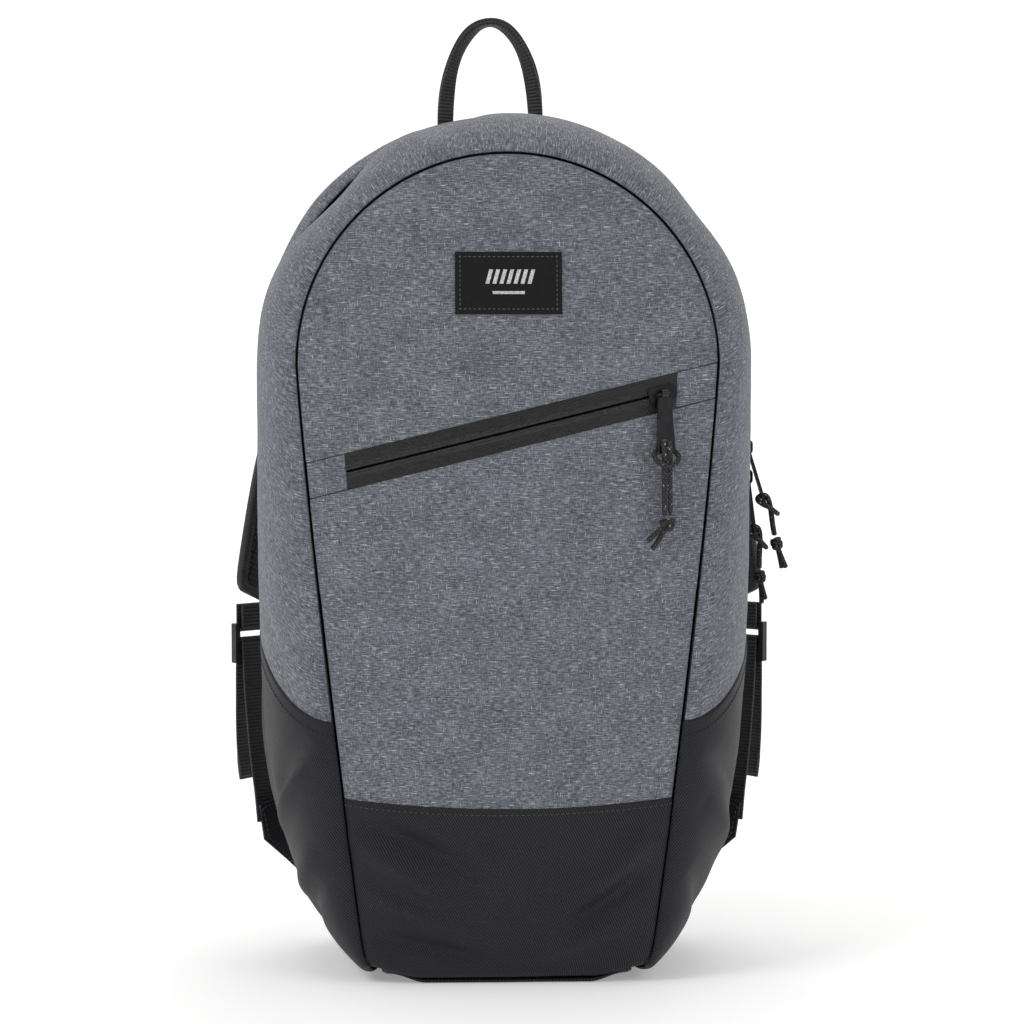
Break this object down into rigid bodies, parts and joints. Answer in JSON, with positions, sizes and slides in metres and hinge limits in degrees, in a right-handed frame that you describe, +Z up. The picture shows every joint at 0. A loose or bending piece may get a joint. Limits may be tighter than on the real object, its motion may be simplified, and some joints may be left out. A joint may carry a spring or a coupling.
{
  "type": "daypack",
  "caption": "Soft daypack with an arched front flap on a two-slider zip, a slanted zipped front pocket, black lower panels, padded shoulder straps and a webbing haul loop.",
  "frame": {"origin": "on the floor, under the middle of the pack's bounding box", "axes": "+Z up, -Y is the pack's front face, +X is the right-hand side of the front as it is looked at"},
  "size_m": [0.3053, 0.2082, 0.5118],
  "materials": {
    "grey_fabric": "heathered plain weave",
    "black_fabric": "fine twill",
    "mesh": "knitted spacer mesh",
    "lining": "plain weave",
    "foam": "closed-cell foam",
    "coated_tape": "coated, slightly glossy",
    "zip_coil": "nylon coil",
    "black_metal": "gloss black",
    "cord": "braided with reflective flecks",
    "webbing": "woven",
    "binding": "ribbed tape",
    "black_plastic": "moulded",
    "label": "woven label"
  },
  "bodies": {
    "pack": {"back_panel_cover": "mesh", "back_panel_foam": "foam", "back_panel_lining": "lining", "gusset_rear": "grey_fabric", "gusset_lower_left": "grey_fabric", "gusset_lower_right": "grey_fabric", "side_black_left": "black_fabric", "side_black_right": "black_fabric", "base_panel": "black_fabric", "front_black_panel": "black_fabric", "front_panel_lower": "grey_fabric", "seam_binding_back": "binding", "main_zip_tape_rear": "coated_tape", "main_zip_coil_rear": "zip_coil", "strap_yoke": "black_fabric", "webbing_wing_left": "black_fabric", "webbing_wing_right": "black_fabric"},
    "flap": {"front_panel_middle": "grey_fabric", "front_panel_upper": "grey_fabric", "gusset_front": "grey_fabric", "seam_binding_front": "binding", "main_zip_tape_front": "coated_tape", "main_zip_coil_front": "zip_coil", "pocket_zip_tape_upper": "coated_tape", "pocket_zip_tape_lower": "coated_tape", "pocket_zip_coil_upper": "zip_coil", "pocket_zip_coil_lower": "zip_coil", "pocket_end_tab_left": "grey_fabric", "pocket_end_tab_right": "grey_fabric", "pocket_bag": "lining", "label_patch": "label"},
    "pocket_slider": {"pocket_slider": "black_metal"},
    "pocket_pull": {"pocket_pull_tab": "black_metal", "pocket_pull_cord": "cord", "pocket_pull_knot": "cord"},
    "upper_slider": {"main_slider_upper": "black_metal"},
    "upper_pull": {"main_pull_tab_upper": "black_metal", "main_pull_cord_upper": "cord", "main_pull_knot_upper": "cord"},
    "lower_slider": {"main_slider_lower": "black_metal"},
    "lower_pull": {"main_pull_tab_lower": "black_metal", "main_pull_cord_lower": "cord", "main_pull_knot_lower": "cord"},
    "haul_loop": {"haul_loop": "webbing"},
    "strap_left": {"strap_cover_left": "black_fabric", "strap_foam_left": "foam", "strap_mesh_left": "mesh", "ladder_loop_left": "webbing", "ladder_lock_left": "black_plastic", "webbing_left": "webbing"},
    "strap_right": {"strap_cover_right": "black_fabric", "strap_foam_right": "foam", "strap_mesh_right": "mesh", "ladder_loop_right": "webbing", "ladder_lock_right": "black_plastic", "webbing_right": "webbing"}
  },
  "joints": [
    {"name": "front_flap", "type": "hinge", "parent": "pack", "child": "flap", "pos_m": [0, -0.103, 0.205], "axis": [1, 0, 0], "range_deg": [0, 70]},
    {"name": "pocket_slider_run", "type": "hinge", "parent": "flap", "child": "pocket_slider", "pos_m": [-0.00117, 0.39902, 0.26687], "axis": [0.2381, -0.0444, -0.9702], "range_deg": [0, 18]},
    {"name": "pocket_tab_swing", "type": "hinge", "parent": "pocket_slider", "child": "pocket_pull", "pos_m": [0.08014, -0.09633, 0.3094], "axis": [-0.9587, -0.1701, -0.2279], "range_deg": [0, 150]},
    {"name": "upper_slider_run", "type": "slide", "parent": "pack", "child": "upper_slider", "axis": [0, 0, 1], "range_m": [0, 0.046]},
    {"name": "upper_tab_swing", "type": "hinge", "parent": "upper_slider", "child": "upper_pull", "pos_m": [0.13435, 0.009, 0.2742], "axis": [0, -1, 0], "range_deg": [0, 125]},
    {"name": "lower_slider_run", "type": "slide", "parent": "pack", "child": "lower_slider", "axis": [0, 0, -1], "range_m": [0, 0.04]},
    {"name": "lower_tab_swing", "type": "hinge", "parent": "lower_slider", "child": "lower_pull", "pos_m": [0.13435, 0.009, 0.258], "axis": [0, -1, 0], "range_deg": [0, 115]},
    {"name": "haul_loop_fold", "type": "hinge", "parent": "pack", "child": "haul_loop", "pos_m": [-0.005, 0.058, 0.4493], "axis": [1, 0, 0], "range_deg": [-30, 60], "stiffness_Nm_per_rad": 0.03},
    {"name": "strap_left_swing", "type": "hinge", "parent": "pack", "child": "strap_left", "pos_m": [-0.038, 0.062, 0.421], "axis": [1, 0, 0], "range_deg": [0, 12]},
    {"name": "strap_right_swing", "type": "hinge", "parent": "pack", "child": "strap_right", "pos_m": [0.038, 0.062, 0.421], "axis": [1, 0, 0], "range_deg": [0, 12]}
  ],
  "couplings": [
    {"joint": "lower_tab_swing", "follows": "upper_tab_swing", "ratio": 0.9}
  ]
}
